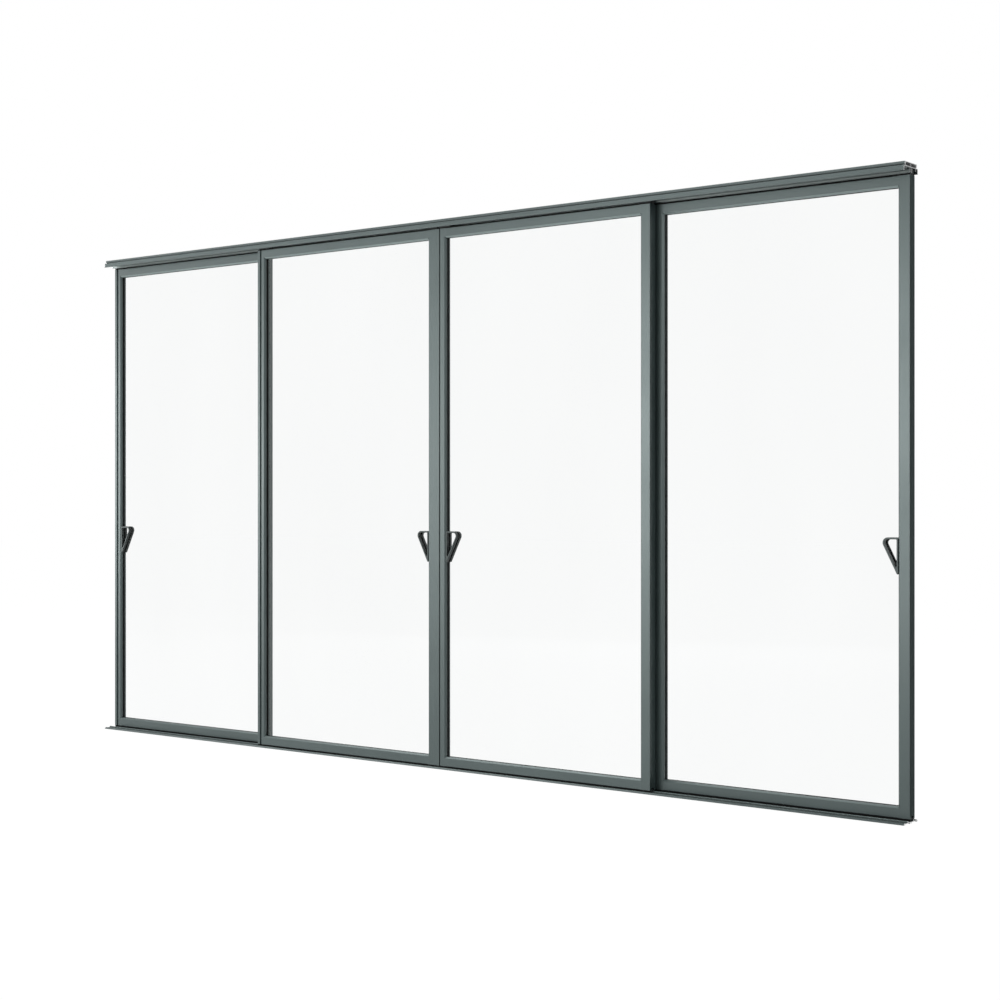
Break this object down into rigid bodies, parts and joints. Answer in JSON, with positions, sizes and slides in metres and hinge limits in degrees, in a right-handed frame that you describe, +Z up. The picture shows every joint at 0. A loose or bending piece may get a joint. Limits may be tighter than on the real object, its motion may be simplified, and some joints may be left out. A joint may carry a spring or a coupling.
{
  "type": "sliding door",
  "caption": "Glazed sliding door with dark slim aluminium leaves on a double track, clear panes and triangular pulls; the middle leaves part and the outer ones slide in behind them",
  "frame": {"origin": "middle of the sill's underside, on the floor", "axes": "+X along the tracks to the right as seen from the front, -Y towards the front, +Z up"},
  "size_m": [3.87, 0.106, 2.1],
  "materials": {
    "frame_paint": "satin powder coat, dark grey with a green cast",
    "track_paint": "satin powder coat, bare metal at the cut ends",
    "clear_glass": "clear toughened glass",
    "black_rubber": "matt black glazing gasket",
    "pull_paint": "satin dark paint on flat strip",
    "nylon": "black nylon"
  },
  "bodies": {
    "tracks": {"top_track": "track_paint", "sill_track": "track_paint"},
    "leaf_1": {"leaf_1_outer_stile": "frame_paint", "leaf_1_inner_stile": "frame_paint", "leaf_1_top_rail": "frame_paint", "leaf_1_bottom_rail": "frame_paint", "leaf_1_glass": "clear_glass", "leaf_1_gasket": "black_rubber", "leaf_1_front_pull": "pull_paint", "leaf_1_rear_pull": "pull_paint", "leaf_1_rollers": "nylon", "leaf_1_guides": "nylon"},
    "leaf_2": {"leaf_2_outer_stile": "frame_paint", "leaf_2_meeting_stile": "frame_paint", "leaf_2_meeting_strip": "frame_paint", "leaf_2_top_rail": "frame_paint", "leaf_2_bottom_rail": "frame_paint", "leaf_2_glass": "clear_glass", "leaf_2_gasket": "black_rubber", "leaf_2_front_pull": "pull_paint", "leaf_2_rear_pull": "pull_paint", "leaf_2_rollers": "nylon", "leaf_2_guides": "nylon"},
    "leaf_3": {"leaf_3_outer_stile": "frame_paint", "leaf_3_meeting_stile": "frame_paint", "leaf_3_meeting_strip": "frame_paint", "leaf_3_top_rail": "frame_paint", "leaf_3_bottom_rail": "frame_paint", "leaf_3_glass": "clear_glass", "leaf_3_gasket": "black_rubber", "leaf_3_front_pull": "pull_paint", "leaf_3_rear_pull": "pull_paint", "leaf_3_rollers": "nylon", "leaf_3_guides": "nylon"},
    "leaf_4": {"leaf_4_outer_stile": "frame_paint", "leaf_4_inner_stile": "frame_paint", "leaf_4_top_rail": "frame_paint", "leaf_4_bottom_rail": "frame_paint", "leaf_4_glass": "clear_glass", "leaf_4_gasket": "black_rubber", "leaf_4_front_pull": "pull_paint", "leaf_4_rear_pull": "pull_paint", "leaf_4_rollers": "nylon", "leaf_4_guides": "nylon"}
  },
  "joints": [
    {"name": "leaf_1_slide", "type": "slide", "parent": "tracks", "child": "leaf_1", "axis": [1, 0, 0], "range_m": [0, 0.9575]},
    {"name": "leaf_2_slide", "type": "slide", "parent": "tracks", "child": "leaf_2", "axis": [-1, 0, 0], "range_m": [0, 0.9575]},
    {"name": "leaf_3_slide", "type": "slide", "parent": "tracks", "child": "leaf_3", "axis": [1, 0, 0], "range_m": [0, 0.9575]},
    {"name": "leaf_4_slide", "type": "slide", "parent": "tracks", "child": "leaf_4", "axis": [-1, 0, 0], "range_m": [0, 0.9575]}
  ]
}
